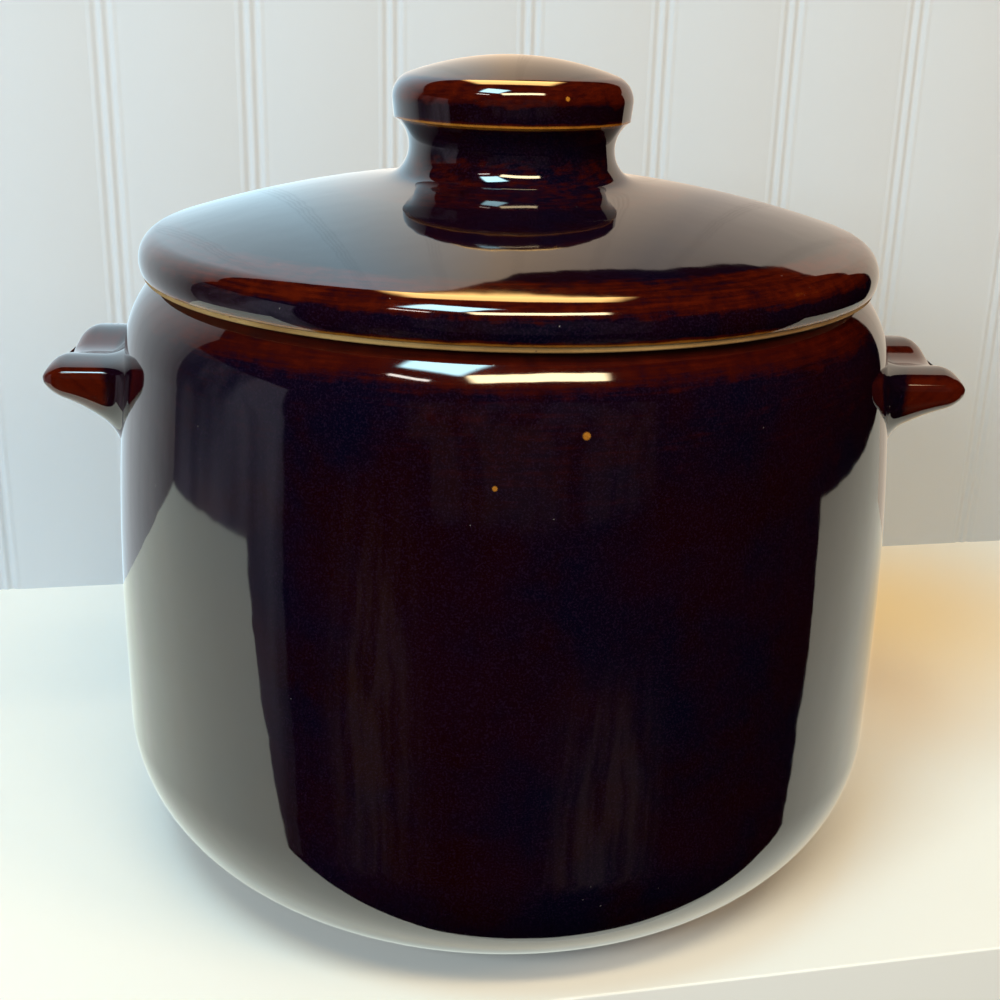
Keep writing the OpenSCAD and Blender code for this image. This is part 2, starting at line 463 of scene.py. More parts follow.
class Effects:
    """The node groups that the finishes share, each built once."""

    TO_MM = 1000.0
    STROKE_TURN = 45.0
    STROKE_LENGTH = 130.0
    AXIS_GUARD = 0.001
    WANDER_SCALE = 160.0
    SPOT_CORE = 0.55

    def __init__(self) -> None:
        """Builds every group."""
        self.measures = new_group(
            "pot measures", [("Place", VECTOR, None)],
            [("Height", FLOAT), ("Radius", FLOAT), ("Flow", VECTOR)], self._measures,
        )
        self.band = new_group(
            "soft band",
            [("Value", FLOAT, 0.0), ("Low", FLOAT, 0.0), ("High", FLOAT, 1.0), ("Softness", FLOAT, 1.0),
             ("Wobble", FLOAT, 0.0), ("Place", VECTOR, None)],
            [("Mask", FLOAT)], self._band,
        )
        self.spot = new_group(
            "pinhole", [("Place", VECTOR, None), ("Centre", VECTOR, (0.0, 0.0, 0.0)), ("Radius", FLOAT, 1.0)],
            [("Mask", FLOAT)], self._spot,
        )
        self.glaze = new_group(
            "iron glaze",
            [("Place", VECTOR, None), ("Flow", VECTOR, None), ("Thin", FLOAT, 0.0), ("Amber", FLOAT, 0.0),
             ("Mottle", FLOAT, 1.0)],
            [("Color", COLOR), ("Roughness", FLOAT), ("Height", FLOAT)], self._glaze,
        )
        self.clay = new_group(
            "bare clay", [("Place", VECTOR, None)],
            [("Color", COLOR), ("Height", FLOAT)], self._clay,
        )

    def _measures(self, graph: Graph, entry: bpy.types.Node) -> dict[str, Socket]:
        """Height and radius in millimetres, and a place that is drawn out along the turning strokes."""
        x, y, z = graph.axes(entry.outputs["Place"])
        squares = graph.maths("MULTIPLY_ADD", x, x, graph.maths("MULTIPLY", y, y))
        flat = graph.maths("SQRT", squares)
        safe = graph.maths("MAXIMUM", flat, self.AXIS_GUARD)
        across, along = graph.maths("DIVIDE", x, safe), graph.maths("DIVIDE", y, safe)
        slope = graph.maths("SUBTRACT", flat, z)
        angle = graph.maths("MULTIPLY", slope, self.STROKE_TURN)
        cosine, sine = graph.maths("COSINE", angle), graph.maths("SINE", angle)
        first, second = graph.maths("MULTIPLY", along, sine), graph.maths("MULTIPLY", along, cosine)
        turned_x = graph.maths("SUBTRACT", graph.maths("MULTIPLY", across, cosine), first)
        turned_y = graph.maths("MULTIPLY_ADD", across, sine, second)
        joined = graph.add("CombineXYZ")
        graph.put(joined.inputs[0], turned_x)
        graph.put(joined.inputs[1], turned_y)
        graph.put(joined.inputs[2], graph.maths("MULTIPLY", slope, self.STROKE_LENGTH))
        return {
            "Height": graph.maths("MULTIPLY", z, self.TO_MM),
            "Radius": graph.maths("MULTIPLY", flat, self.TO_MM),
            "Flow": joined.outputs[0],
        }

    def _band(self, graph: Graph, entry: bpy.types.Node) -> dict[str, Socket]:
        """1 between Low and High, falling to 0 over Softness, with edges that wander by Wobble."""
        ins = entry.outputs
        stray = graph.maths("SUBTRACT", graph.noise(ins["Place"], self.WANDER_SCALE, 3.0), 0.5)
        value = graph.maths("MULTIPLY_ADD", stray, graph.maths("MULTIPLY", ins["Wobble"], 2.0), ins["Value"])
        rise = graph.remap(value, graph.maths("SUBTRACT", ins["Low"], ins["Softness"]), ins["Low"])
        fall = graph.remap(value, ins["High"], graph.maths("ADD", ins["High"], ins["Softness"]), 1.0, 0.0)
        return {"Mask": graph.maths("MULTIPLY", rise, fall)}

    def _spot(self, graph: Graph, entry: bpy.types.Node) -> dict[str, Socket]:
        """A small round spot at Centre, in millimetres."""
        ins = entry.outputs
        place = graph.vector("MULTIPLY", ins["Place"], (self.TO_MM, self.TO_MM, self.TO_MM))
        away = graph.compare("DISTANCE", place, ins["Centre"])
        core = graph.maths("MULTIPLY", ins["Radius"], self.SPOT_CORE)
        return {"Mask": graph.remap(away, core, ins["Radius"], 1.0, 0.0)}

    @staticmethod
    def _glaze(graph: Graph, entry: bpy.types.Node) -> dict[str, Socket]:
        """Dark iron glaze that clouds from aubergine to navy and breaks to rust where it is thin."""
        recipe = GlazeRecipe()
        tone = {colour.name: colour.value for colour in GlazeTones}
        ins = entry.outputs
        place = ins["Place"]
        cloud = graph.noise(place, *Grain.CLOUD.value)
        drift = graph.noise(graph.vector("ADD", place, recipe.drift_shift), *Grain.DRIFT.value)
        speckle = graph.noise(place, *Grain.SPECKLE.value)
        blotch = graph.noise(place, *Grain.BLOTCH.value)
        stroke = graph.noise(ins["Flow"], *Grain.STROKE.value)
        patch = graph.noise(graph.vector("ADD", place, recipe.patch_shift), *Grain.PATCH.value)
        dark = graph.mix(graph.remap(cloud, *recipe.navy), tone["AUBERGINE"], tone["NAVY"])
        dark = graph.mix(graph.remap(drift, *recipe.maroon), dark, tone["MAROON"])
        dark = graph.mix(graph.remap(speckle, *recipe.plum, 0.0, recipe.plum_share), dark, tone["PLUM"])
        uneven = graph.maths("SUBTRACT", blotch, 0.5)
        for noise, share in ((stroke, recipe.stroke_share), (patch, recipe.patch_share)):
            uneven = graph.maths("MULTIPLY_ADD", graph.maths("SUBTRACT", noise, 0.5), share, uneven)
        depth = graph.maths("MULTIPLY_ADD", uneven, ins["Mottle"], ins["Thin"])
        depth = graph.maths("MULTIPLY", depth, graph.remap(ins["Thin"], 0.0, recipe.thin_start))
        colour = graph.mix(graph.remap(depth, *recipe.oxblood), dark, tone["OXBLOOD"])
        colour = graph.mix(graph.remap(depth, *recipe.rust), colour, tone["RUST"])
        bright = graph.remap(depth, *recipe.orange, 0.0, recipe.orange_share)
        colour = graph.mix(bright, colour, tone["ORANGE"])
        broken = graph.remap(blotch, *recipe.amber_break, recipe.amber_least, 1.0)
        colour = graph.mix(graph.maths("MULTIPLY", ins["Amber"], broken), colour, tone["AMBER"])
        rare = graph.remap(graph.noise(place, *Grain.RARE.value), *recipe.fleck_rare)
        near = graph.remap(graph.cells(place, recipe.fleck_scale), *recipe.fleck_edge, 1.0, 0.0)
        fleck = graph.maths("MULTIPLY", near, rare)
        colour = graph.mix(graph.maths("MULTIPLY", fleck, recipe.fleck_share), colour, tone["FLECK"])
        peel = graph.noise(place, *Grain.PEEL.value)
        dimple = graph.noise(place, *Grain.DIMPLE.value)
        height = graph.maths("MULTIPLY_ADD", dimple, recipe.dimple_share, peel)
        height = graph.maths("MULTIPLY_ADD", fleck, recipe.fleck_rise, height)
        gloss = graph.remap(cloud, *recipe.cloud, *recipe.gloss)
        rough = graph.maths("MULTIPLY_ADD", fleck, recipe.fleck_rough, gloss)
        return {"Color": colour, "Roughness": rough, "Height": height}

    @staticmethod
    def _clay(graph: Graph, entry: bpy.types.Node) -> dict[str, Socket]:
        """Bare fired stoneware: tan, toasted in patches, with dark iron specks and a sandy grain."""
        recipe = ClayRecipe()
        tone = {colour.name: colour.value for colour in ClayTones}
        place = entry.outputs["Place"]
        toast = graph.noise(place, *Grain.TOAST.value)
        sand = graph.noise(place, *Grain.SAND.value)
        colour = graph.mix(graph.remap(toast, *recipe.toasted), tone["PALE"], tone["TOASTED"])
        colour = graph.mix(graph.remap(sand, *recipe.shade, 0.0, recipe.shade_share), colour, tone["SHADE"])
        speck = graph.remap(graph.cells(place, recipe.speck_scale), *recipe.speck_edge, 1.0, 0.0)
        colour = graph.mix(graph.maths("MULTIPLY", speck, recipe.speck_share), colour, tone["IRON"])
        return {"Color": colour, "Height": graph.maths("MULTIPLY_ADD", speck, recipe.speck_dip, sand)}


# ---------------------------------------------------------------- finishes

GLAZE_IOR = 1.65
GLAZE_STEP = 0.8
CLAY_ROUGHNESS = 0.78
CLAY_GRIT = 0.4


@dataclass(frozen=True)
class Band:
    """A ring-shaped zone of a piece, in millimetres.

    It lies between two heights, and between two distances from the axis.
    """

    low: float
    high: float
    inner: float = -50.0
    outer: float = 500.0
    soft: float = 1.0
    wobble: float = 0.0
    strength: float = 1.0


@dataclass(frozen=True)
class Pinhole:
    """A pit in the glaze where amber shows, in millimetres."""

    centre: Place
    radius: float


@dataclass(frozen=True)
class Stoneware:
    """Glazed stoneware whose glaze thins in some bands and leaves the clay bare in others."""

    name: str
    thin: tuple[Band, ...] = ()
    amber: tuple[Band, ...] = ()
    bare: tuple[Band, ...] = ()
    pinholes: tuple[Pinhole, ...] = ()
    base_thin: float = 0.0
    mottle: float = 1.0
    bump: float = 0.00009

    def material(self, effects: Effects) -> bpy.types.Material:
        """Builds the material.

        Args:
            effects: The shared node groups.

        Returns:
            The material.
        """
        material, graph = new_material(self.name)
        place = graph.add("TexCoord").outputs["Object"]
        sizes = graph.group(effects.measures, Place=place).outputs
        thin = self._cover(graph, effects, place, sizes, self.thin, self.base_thin)
        amber = self._cover(graph, effects, place, sizes, self.amber, 0.0)
        for hole in self.pinholes:
            spot = graph.group(effects.spot, Place=place, Centre=hole.centre, Radius=hole.radius)
            amber = graph.maths("MAXIMUM", amber, spot.outputs[0])
        bare = self._cover(graph, effects, place, sizes, self.bare, 0.0)
        glaze = graph.group(
            effects.glaze, Place=place, Flow=sizes["Flow"], Thin=thin, Amber=amber, Mottle=self.mottle
        ).outputs
        clay = graph.group(effects.clay, Place=place).outputs
        shader = graph.add("BsdfPrincipled")
        glossy = graph.maths("SUBTRACT", 1.0, bare, clamp=True)
        graph.put(shader.inputs["Base Color"], graph.mix(bare, glaze["Color"], clay["Color"]))
        rough = graph.add("Mix", data_type="FLOAT")
        graph.put(rough.inputs["Factor"], bare)
        graph.put(rough.inputs["A"], glaze["Roughness"])
        graph.put(rough.inputs["B"], CLAY_ROUGHNESS)
        graph.put(shader.inputs["Roughness"], rough.outputs["Result"])
        graph.put(shader.inputs["IOR"], GLAZE_IOR)
        relief = graph.add("Bump")
        skin = graph.maths("MULTIPLY", glaze["Height"], glossy)
        step = graph.maths("MULTIPLY_ADD", glossy, GLAZE_STEP, skin)
        grit = graph.maths("MULTIPLY", clay["Height"], bare)
        graph.put(relief.inputs["Height"], graph.maths("MULTIPLY_ADD", grit, CLAY_GRIT, step))
        graph.put(relief.inputs["Distance"], self.bump)
        graph.put(relief.inputs["Strength"], 1.0)
        graph.put(shader.inputs["Normal"], relief.outputs[0])
        graph.surface(shader.outputs[0])
        return material

    @staticmethod
    def _cover(
        graph: Graph, effects: Effects, place: Socket, sizes: object, bands: tuple[Band, ...], least: float
    ) -> Value:
        """The strongest of some bands at each point.

        Args:
            graph: The material's graph.
            effects: The shared node groups.
            place: The point in the piece's own space.
            sizes: Outputs of the group that measures the pot.
            bands: The bands.
            least: What holds where no band reaches.

        Returns:
            The mask, or least itself if there are no bands.
        """
        cover: Value = least
        for band in bands:
            edge = {"Softness": band.soft, "Wobble": band.wobble, "Place": place}
            level = graph.group(effects.band, Value=sizes["Height"], Low=band.low, High=band.high, **edge)
            ring = graph.group(effects.band, Value=sizes["Radius"], Low=band.inner, High=band.outer, **edge)
            mask = graph.maths("MULTIPLY", level.outputs[0], ring.outputs[0])
            cover = graph.maths("MAXIMUM", cover, graph.maths("MULTIPLY", mask, band.strength))
        return cover


# ---------------------------------------------------------------- the pot's pieces


@dataclass
class Crock:
    """The barrel-shaped body, which stands on a bare ring."""

    belly_r: float = 92.0
    rim_h: float = 140.6
    heel_r: float = 35.0
    belly_band: float = 22.0
    side_lean: float = 4.2
    shoulder_r: float = 22.5
    shoulder_drop: float = 14.8
    wall: float = 7.0
    floor_t: float = 8.0
    foot_out: float = 8.0
    foot_w: float = 9.0
    foot_h: float = 0.8
    foot_recess: float = 1.8
    rim_w: float = 6.5
    lip_t: float = 5.5
    lip_slope: float = 2.0
    rim_round: float = 1.8
    soft_r: float = 0.8

    def __post_init__(self) -> None:
        """Works out the arcs' centres and where they meet."""
        self.heel_c = (self.belly_r - self.heel_r, self.foot_h + self.heel_r)
        self.belly_top = self.heel_c[1] + self.belly_band
        rise = self.rim_h - self.shoulder_drop - self.belly_top
        self.side_r = (rise * rise + self.side_lean**2) / (2 * self.side_lean)
        self.side_c = (self.belly_r - self.side_r, self.belly_top)
        self.side_angle = math.degrees(math.asin(rise / self.side_r))
        lean = math.radians(self.side_angle)
        reach = self.side_r - self.shoulder_r
        self.shoulder_c = polar(self.side_c, reach, lean)
        self.shoulder_h = self.side_c[1] + self.side_r * math.sin(lean)
        self.foot_r = self.heel_c[0] + self.foot_out
        self.rim_edge_z = self.rim_h - self.rim_round
        up = self.rim_edge_z - self.shoulder_c[1]
        out = math.sqrt((self.shoulder_r - self.rim_round) ** 2 - up * up)
        self.rim_edge_x = self.shoulder_c[0] + out
        self.rim_angle = math.degrees(math.atan2(up, out))
        self.mouth_r = self.rim_edge_x - self.rim_w
        self.floor_z = self.foot_h + self.floor_t

    def radius_at(self, height: float) -> float:
        """Outside radius of the wall at a height between the heel and the rim."""
        if height < self.belly_top:
            return self.belly_r
        if height < self.shoulder_h:
            return self.side_c[0] + math.sqrt(self.side_r**2 - (height - self.side_c[1]) ** 2)
        return self.shoulder_c[0] + math.sqrt(self.shoulder_r**2 - (height - self.shoulder_c[1]) ** 2)

    def outline(self) -> list[Point]:
        """The wall's section, from the middle of the underside round to the middle of the floor."""
        foot_in = self.foot_r - self.foot_w
        inner_heel = (self.heel_c[0], self.floor_z + self.heel_r - self.wall)
        heel_start = -math.degrees(math.acos(self.foot_out / self.heel_r))
        lip_z = self.rim_h - self.lip_t
        inner = self.shoulder_r - self.wall
        inner_top = math.degrees(math.asin((lip_z - self.lip_slope - self.shoulder_c[1]) / inner))
        return [
            *run((0, self.foot_recess), (foot_in - self.foot_recess, self.foot_recess), 8.0),
            *arc((foot_in + self.soft_r, self.soft_r), self.soft_r, 200, 270, 0.3),
            *arc((self.foot_r - self.soft_r, self.soft_r), self.soft_r, -90, 0, 0.3),
            *arc(self.heel_c, self.heel_r, heel_start, 0, 1.2),
            *arc(self.side_c, self.side_r, 0, self.side_angle, 2.5)[1:],
            *arc(self.shoulder_c, self.shoulder_r, self.side_angle, self.rim_angle, 0.6)[1:],
            *arc((self.rim_edge_x, self.rim_edge_z), self.rim_round, self.rim_angle, 90, 0.3)[1:],
            *run((self.rim_edge_x, self.rim_h), (self.mouth_r + self.rim_round, self.rim_h), 2.0)[1:],
            *arc((self.mouth_r + self.rim_round, self.rim_edge_z), self.rim_round, 90, 180, 0.3)[1:],
            *arc((self.mouth_r + self.soft_r, lip_z + self.soft_r), self.soft_r, 180, 270, 0.3),
            *arc(self.shoulder_c, inner, inner_top, self.side_angle, 1.5),
            *arc(self.side_c, self.side_r - self.wall, self.side_angle, 0, 5.0)[1:],
            *arc(inner_heel, self.heel_r - self.wall, 0, -90, 2.5),
            *run((self.heel_c[0], self.floor_z), (0, self.floor_z), 8.0)[1:],
        ]

    def finish(self) -> Stoneware:
        """Dark glaze that thins round the shoulder's top, over a bare ring and a bare rim."""
        top = self.rim_h
        foot_in = self.foot_r - self.foot_w - 0.6
        return Stoneware(
            name="crock_glaze",
            thin=(
                Band(top - 3.0, top + 5.0, inner=70.0, soft=6.5, wobble=1.5, strength=0.52),
                Band(top - 12.0, top + 5.0, inner=70.0, soft=45.0, strength=0.12),
                Band(-5.0, 3.0, inner=40.0, soft=6.0, wobble=2.0, strength=0.4),
            ),
            amber=(Band(0.6, 1.4, inner=self.foot_r - 2.0, soft=0.7, wobble=0.5, strength=0.7),),
            bare=(
                Band(-5.0, 0.55, inner=foot_in, outer=self.foot_r + 3, soft=0.15, wobble=0.25),
                Band(top - 0.25, top + 2, self.mouth_r + 1.0, self.rim_edge_x - 0.4, soft=0.2, wobble=0.2),
            ),
            pinholes=(
                Pinhole((11.8, -86.8, 126.8), 0.9),
                Pinhole((-4.5, -88.7, 117.2), 0.6),
            ),
            mottle=0.6,
        )

    def build(self, effects: Effects) -> bpy.types.Object:
        """Makes the crock and puts it in place of the CAD node."""
        piece = revolve("crock_body", self.outline())
        piece.data.materials.append(self.finish().material(effects))
        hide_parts("crock")
        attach(piece, Body.POT.value)
        return piece


@dataclass
class ThumbLug:
    """One solid lug on the wall, lofted outwards from it, with a hollow for the thumb."""

    crock: Crock
    node: str
    side: int = 1
    length: float = 46.5
    reach: float = 12.38
    drop: float = 22.5
    edge_r: float = 4.3
    corner_r: float = 4.0
    sweep: float = 8.6
    sweep_bend: float = 1.4
    fillet: float = 4.4
    top_flare: float = 0.3
    thumb_depth: float = 2.8
    thumb_len: float = 32.0
    square: float = 3.6
    bite: float = 0.8
    sink: float = 2.5
    stations: int = 44
    root_crowding: float = 1.4
    sides: int = 128
    corner_crowding: float = 0.10

    def __post_init__(self) -> None:
        """Works out the lug's height, its root on the wall and how far it runs."""
        self.height = self.crock.rim_h - self.drop
        self.wall_r = self.crock.radius_at(self.height) - self.bite
        self.run_out = self.crock.belly_r + self.reach - self.wall_r

    def _nose(self, out: float) -> float:
        """Share of the full thickness that is left at a distance from the root."""
        part = max(0.0, (out - self.run_out + self.edge_r) / self.edge_r)
        return math.sqrt(max(0.0, 1 - part * part))

    def _flare(self, out: float) -> float:
        """What the fillet adds at a distance from the root."""
        part = max(0.0, self.fillet - max(0.0, out))
        return self.fillet - math.sqrt(self.fillet**2 - part * part)

    def point(self, out: float, angle: float) -> Place:
        """A point of the lug's skin.

        Args:
            out: Distance from the root.
            angle: Angle round the section, in radians.

        Returns:
            The point in millimetres.
        """
        power = 2 / self.square
        cosine = math.copysign(abs(math.cos(angle)) ** power, math.cos(angle))
        sine = math.copysign(abs(math.sin(angle)) ** power, math.sin(angle))
        nose, flare = self._nose(out), self._flare(out)
        share = out / self.run_out
        across = (self.length / 2 - self.corner_r * (1 - nose) + flare) * cosine
        if sine > 0:
            hollow = 0.0
            if abs(across) < self.thumb_len / 2:
                hollow = self.thumb_depth * math.cos(math.pi * across / self.thumb_len) ** 2
            hollow *= max(0.0, min(1.0, out / self.fillet))
            lift = sine * (self.edge_r * nose + self.top_flare * flare - hollow)
        else:
            bracket = self.sweep * max(0.0, 1 - max(0.0, share)) ** self.sweep_bend
            lift = sine * (self.edge_r * nose + bracket + flare)
        height = self.height + lift
        root = math.sqrt(self.wall_r**2 - across**2)
        bend = self.crock.radius_at(height) - self.crock.radius_at(self.height)
        away = root * (1 - share) + self.wall_r * share + out + bend * (1 - share)
        return self.side * away, across, height

    def finish(self) -> Stoneware:
        """The crock's glaze, thin and red on the sides and the nose, away from the wall."""
        wall = self.crock.radius_at(self.height)
        low, high = self.height - 5.5, self.height + 2.4
        return Stoneware(
            name=self.node + "_glaze",
            thin=(Band(low, high, inner=wall + 5.5, soft=2.6, wobble=0.8, strength=0.75),),
            base_thin=0.05,
            mottle=0.6,
            bump=0.00005,
        )

    def build(self, effects: Effects) -> bpy.types.Object:
        """Makes the lug and puts it in place of the CAD node."""
        form = bmesh.new()
        nose_start = self.run_out - self.edge_r
        half = self.stations // 2
        outs = [-self.sink] + [nose_start * (k / half) ** self.root_crowding for k in range(half + 1)]
        outs += [nose_start + self.edge_r * math.sin(math.pi / 2 * k / half) for k in range(1, half + 1)]
        turn = [2 * math.pi * (k + 0.5) / self.sides for k in range(self.sides)]
        turn = [a - self.corner_crowding * math.sin(4 * a) for a in turn]
        rings = [[form.verts.new(self.point(out, a)) for a in turn] for out in outs]
        form.faces.new(rings[0])
        for near, far in zip(rings, rings[1:]):
            for k in range(self.sides):
                n = (k + 1) % self.sides
                form.faces.new((near[k], near[n], far[n], far[k]))
        form.faces.new(reversed(rings[-1]))
        piece = finish_mesh("thumb_lug_" + ("right" if self.side > 0 else "left"), form)
        piece.data.materials.append(self.finish().material(effects))
        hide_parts(self.node)
        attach(piece, Body.POT.value)
        return piece


@dataclass
class Lid:
    """The domed lid with its bare seat band and the flange that locates it in the mouth."""

    crock: Crock
    overhang: float = 4.9
    dome_r: float = 260.0
    edge_r: float = 6.2
    edge_h: float = 9.7
    band_h: float = 1.2
    band_inset: float = 0.8
    band_soft_r: float = 0.4
    thickness: float = 7.0
    flange_h: float = 9.0
    flange_t: float = 6.0
    flange_taper: float = 0.8
    soft_r: float = 0.8
    seat_gap: float = 0.2
    mouth_gap: float = 1.4
    bore_r: float = 10.0
    throat_x: float = 30.9
    throat_r: float = 7.5
    pad_inset: float = 1.0
    seat_inset: float = 0.2

    def __post_init__(self) -> None:
        """Works out the tangent arcs and the flange from the crock's rim."""
        self.seat_z = self.crock.rim_h + self.seat_gap
        self.rim_r = self.crock.rim_edge_x + self.overhang
        self.edge_c = (self.rim_r - self.edge_r, self.seat_z + self.edge_h - self.edge_r)
        drop = math.sqrt((self.dome_r - self.edge_r) ** 2 - self.edge_c[0] ** 2)
        self.dome_z = self.edge_c[1] - drop
        self.dome_edge = math.degrees(math.atan2(self.edge_c[1] - self.dome_z, self.edge_c[0]))
        self.pad_r = self.throat_x * self.dome_r / (self.dome_r + self.throat_r)
        self.pad_z = self.dome_z + math.sqrt(self.dome_r**2 - self.pad_r**2)
        self.band_r = self.rim_r - self.band_inset
        self.flange_r = self.crock.mouth_r - self.mouth_gap
        self.flange_inner_r = self.flange_r - self.flange_t
        self.flange_z = self.seat_z - self.flange_h

    def outline(self) -> list[Point]:
        """The lid's section, from the band up over the dome and back along the underside."""
        band_angle = math.degrees(math.asin((self.edge_c[1] - self.seat_z - self.band_h) / self.edge_r))
        band_in = self.band_r - self.band_soft_r
        dome_end = math.degrees(math.acos(self.pad_r / self.dome_r))
        under_r = self.dome_r - self.thickness
        fillet = self.thickness
        fillet_x = self.flange_inner_r - fillet
        fillet_z = self.dome_z + math.sqrt((under_r - fillet) ** 2 - fillet_x**2)
        fillet_angle = math.degrees(math.atan2(fillet_z - self.dome_z, fillet_x))
        bore_angle = math.degrees(math.acos(self.bore_r / under_r))
        soft, low = self.soft_r, self.flange_z
        tip = self.flange_r - self.flange_taper
        return [
            *arc((band_in, self.seat_z + self.band_soft_r), self.band_soft_r, -90, 0, 0.2),
            (self.band_r, self.seat_z + self.band_h),
            *arc(self.edge_c, self.edge_r, -band_angle, self.dome_edge, 0.3),
            *arc((0, self.dome_z), self.dome_r, self.dome_edge, dome_end, 1.5)[1:],
            *run((self.pad_r - self.pad_inset, self.pad_z), (self.bore_r, self.pad_z), 6.0),
            *arc((0, self.dome_z), under_r, bore_angle, fillet_angle, 4.0),
            *arc((fillet_x, fillet_z), fillet, fillet_angle, 0, 1.0)[1:],
            *arc((self.flange_inner_r + soft, low + soft), soft, 180, 270, 0.3),
            *arc((tip - soft, low + soft), soft, 270, 360, 0.3),
            *run((self.flange_r, self.seat_z), (band_in - self.seat_inset, self.seat_z), 2.0),
        ]

    def finish(self) -> Stoneware:
        """Dark glaze, rust where the dome turns over the edge, above the bare seat band and flange."""
        edge_top = self.edge_c[1] + self.edge_r
        band_top = self.seat_z + self.band_h
        return Stoneware(
            name="lid_glaze",
            thin=(
                Band(edge_top - 2.4, edge_top + 0.6, self.rim_r - 9.0, soft=2.6, wobble=1.4, strength=0.52),
                Band(band_top - 1.0, band_top + 0.5, self.rim_r - 3.0, soft=0.8, wobble=0.4, strength=0.6),
            ),
            amber=(
                Band(band_top - 1.0, band_top + 0.25, self.rim_r - 3.0, soft=0.35, wobble=0.3, strength=0.6),
            ),
            bare=(
                Band(0.0, band_top + 0.02, inner=self.flange_r - 1.4, soft=0.06, wobble=0.05),
                Band(0.0, self.flange_z + 1.2, inner=0.0, soft=0.4, wobble=0.4),
            ),
            pinholes=(Pinhole((-53.0, -46.0, 152.4), 0.5),),
            mottle=1.0,
        )

    def build(self, effects: Effects) -> bpy.types.Object:
        """Makes the lid and puts it in place of the CAD node."""
        piece = revolve("lid_dome", self.outline())
        piece.data.materials.append(self.finish().material(effects))
        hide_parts("lid")
        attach(piece, Body.LID.value)
        return piece


@dataclass
class Knob:
    """The hollow mushroom knob on the lid."""

    lid: Lid
    cap_r: float = 27.1
    cap_side_h: float = 4.2
    cap_edge_r: float = 5.6
    cap_dome_r: float = 68.0
    cap_draw: float = 0.4
    roof: float = 8.0
    skirt_r: float = 40.0
    skirt_start: float = 222.0
    skirt_pull: Point = (11.0, 2.6)
    tuck: float = 0.6
    bore_foot: float = 4.0

    def __post_init__(self) -> None:
        """Works out the throat's and the cap's arcs from the pad on the lid."""
        self.foot_z = self.lid.pad_z
        self.throat_r = self.lid.throat_r
        out = self.lid.throat_x
        rise = math.sqrt((self.lid.dome_r + self.throat_r) ** 2 - out**2)
        self.throat_c = (out, self.lid.dome_z + rise)
        lip_x = self.cap_r - self.cap_draw
        self.throat_end = math.degrees(math.acos((out - lip_x) / self.throat_r))
        self.lip_z = self.throat_c[1] + self.throat_r * math.sin(math.radians(self.throat_end))
        self.edge_c = (self.cap_r - self.cap_edge_r, self.lip_z + self.cap_side_h)
        drop = math.sqrt((self.cap_dome_r - self.cap_edge_r) ** 2 - self.edge_c[0] ** 2)
        self.dome_z = self.edge_c[1] - drop
        self.top = self.dome_z + self.cap_dome_r

    def _skirt(self, steps: int = 28) -> list[Point]:
        """The shallow blend from the lid's dome up into the throat.

        Args:
            steps: How many steps the curve is drawn in.

        Returns:
            Points from the dome to the throat, along a cubic curve tangent to both.
        """
        dome, reach = self.lid.dome_r, self.skirt_r
        low_pull, high_pull = self.skirt_pull
        low = (reach, self.lid.dome_z + math.sqrt(dome**2 - reach**2))
        low_angle = math.atan2(low[1] - self.lid.dome_z, low[0])
        high_angle = math.radians(self.skirt_start)
        high = polar(self.throat_c, self.throat_r, high_angle)
        first = (low[0] - low_pull * math.sin(low_angle), low[1] + low_pull * math.cos(low_angle))
        second = (high[0] - high_pull * math.sin(high_angle), high[1] + high_pull * math.cos(high_angle))
        points = []
        for k in range(steps + 1):
            t = k / steps
            shares = ((1 - t) ** 3, 3 * t * (1 - t) ** 2, 3 * t * t * (1 - t), t**3)
            corners = (low, first, second, high)
            points.append(tuple(sum(w * c[i] for w, c in zip(shares, corners)) for i in (0, 1)))
        return points

    def outline(self) -> list[Point]:
        """The knob's section, from its foot up over the cap and back down the bore."""
        bore = self.lid.bore_r
        skirt = self._skirt()
        bore_top = self.top - self.roof
        edge_end = math.degrees(math.atan2(self.edge_c[1] - self.dome_z, self.edge_c[0]))
        return [
            *run((bore, self.foot_z), (self.lid.pad_r - self.lid.pad_inset, self.foot_z), 5.0),
            (self.lid.pad_r, self.foot_z - self.tuck),
            (self.skirt_r, skirt[0][1] - self.tuck),
            *skirt,
            *arc(self.throat_c, self.throat_r, self.skirt_start, 180 - self.throat_end, 0.4)[1:],
            *arc(self.edge_c, self.cap_edge_r, 0, edge_end, 0.35),
            *arc((0, self.dome_z), self.cap_dome_r, edge_end, 90, 0.8)[1:],
            *arc((0, bore_top - bore), bore, 90, 0, 1.5),
            (bore, self.foot_z + self.bore_foot),
        ]

    def finish(self) -> Stoneware:
        """Thin red glaze over the cap's edge, amber at its lip, and dark in the throat."""
        edge = self.edge_c[1]
        return Stoneware(
            name="knob_glaze",
            thin=(
                Band(edge + 1.2, edge + 4.6, inner=14.0, soft=2.4, wobble=1.4, strength=0.72),
                Band(self.lip_z - 0.5, self.lip_z + 0.6, soft=0.7, wobble=0.3, strength=0.6),
                Band(self.foot_z - 3.0, self.foot_z + 5.0, soft=3.5, wobble=1.0, strength=0.35),
            ),
            amber=(Band(self.lip_z - 0.3, self.lip_z + 0.25, soft=0.35, wobble=0.1, strength=0.9),),
            pinholes=(Pinhole((10.6, -24.6, 180.6), 0.6),),
            mottle=0.8,
            bump=0.00005,
        )

    def build(self, effects: Effects) -> bpy.types.Object:
        """Makes the knob and puts it in place of the CAD node."""
        piece = revolve("mushroom_knob", self.outline())
        piece.data.materials.append(self.finish().material(effects))
        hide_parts("lid_knob")
        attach(piece, Body.LID.value)
        return piece


# ---------------------------------------------------------------- stage, light and camera


